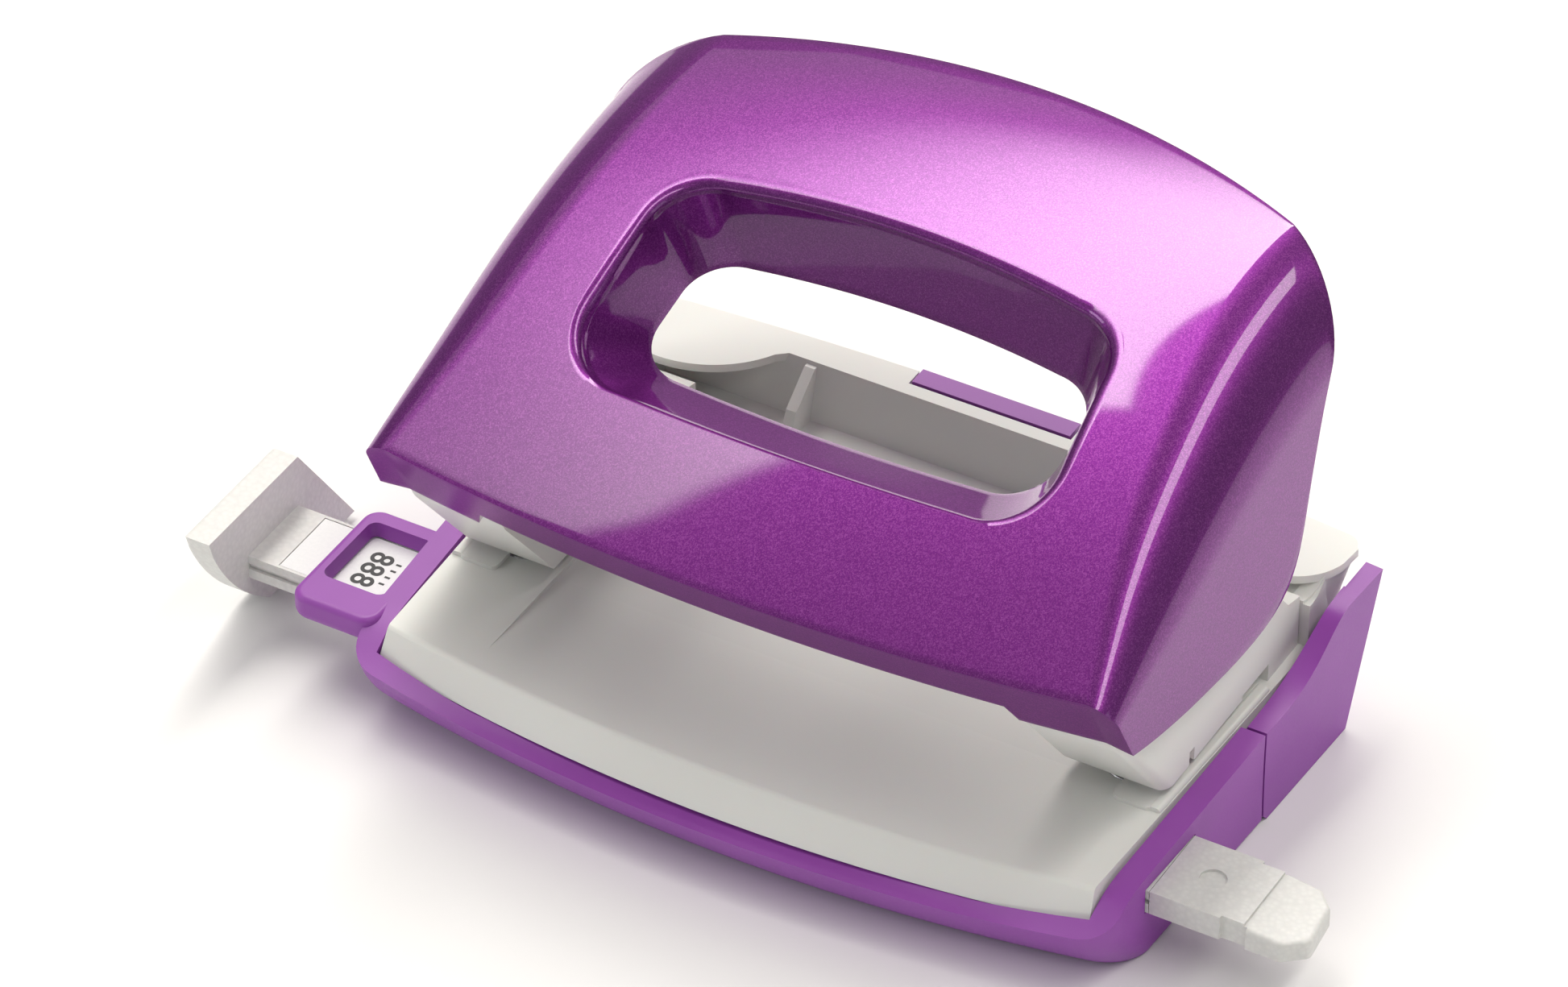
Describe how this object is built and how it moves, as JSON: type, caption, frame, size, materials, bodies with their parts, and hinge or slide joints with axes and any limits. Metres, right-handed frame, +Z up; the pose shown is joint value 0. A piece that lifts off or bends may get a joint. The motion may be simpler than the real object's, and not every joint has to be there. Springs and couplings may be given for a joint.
{
  "type": "hole punch",
  "caption": "Two-hole desk punch with a windowed lever handle, sprung punch pins, sliding paper guide and an opening chip tray.",
  "frame": {"origin": "on the resting plane, midway between the two punch axes", "axes": "+X along the paper edge and the guide bar, +Y towards the back, +Z up"},
  "size_m": [0.1413, 0.0779, 0.0631],
  "materials": {
    "handle_paint": "metallic flake lacquer under clear coat",
    "tray_plastic": "satin moulded",
    "white_plastic": "satin moulded",
    "guide_plastic": "fine leather grain",
    "print_strip": "printed film",
    "steel": "ground",
    "spring_steel": "bright wire"
  },
  "bodies": {
    "base": {"axle_left": "steel", "axle_right": "steel", "base_plate": "white_plastic", "base_screws": "steel", "chip_tray": "tray_plastic", "die_left": "steel", "die_right": "steel", "flap_pin_left": "steel", "flap_pin_right": "steel", "guide_detent": "spring_steel", "head_left": "white_plastic", "head_right": "white_plastic", "rear_body": "white_plastic"},
    "handle": {"handle_shell": "handle_paint", "lever_left": "steel", "lever_right": "steel", "lever_screws": "steel"},
    "punch_left": {"punch_left": "steel", "clip_left": "steel", "spring_left": "spring_steel"},
    "punch_right": {"punch_right": "steel", "clip_right": "steel", "spring_right": "spring_steel"},
    "guide": {"guide_bar": "guide_plastic", "format_strip": "print_strip", "end_stop": "guide_plastic", "guide_tab": "guide_plastic"},
    "flap": {"chip_flap": "tray_plastic"}
  },
  "joints": [
    {"name": "handle_press", "type": "hinge", "parent": "base", "child": "handle", "pos_m": [0, -0.013, 0.03], "axis": [-1, 0, 0], "range_deg": [0, 18], "stiffness_Nm_per_rad": 0.35, "springref_deg": -8.59},
    {"name": "punch_left_stroke", "type": "slide", "parent": "base", "child": "punch_left", "axis": [0, 0, -1], "range_m": [0, 0.0049], "deforming": ["spring_left"]},
    {"name": "punch_right_stroke", "type": "slide", "parent": "base", "child": "punch_right", "axis": [0, 0, -1], "range_m": [0, 0.0049], "deforming": ["spring_right"]},
    {"name": "guide_slide", "type": "slide", "parent": "base", "child": "guide", "axis": [1, 0, 0], "range_m": [-0.08, 0.0035]},
    {"name": "flap_swing", "type": "hinge", "parent": "base", "child": "flap", "pos_m": [0, 0.0084, 0.0014], "axis": [-1, 0, 0], "range_deg": [0, 50]}
  ],
  "couplings": [
    {"joint": "punch_left_stroke", "follows": "handle_press", "m_per_rad": 0.01528},
    {"joint": "punch_right_stroke", "follows": "handle_press", "m_per_rad": 0.01528}
  ]
}
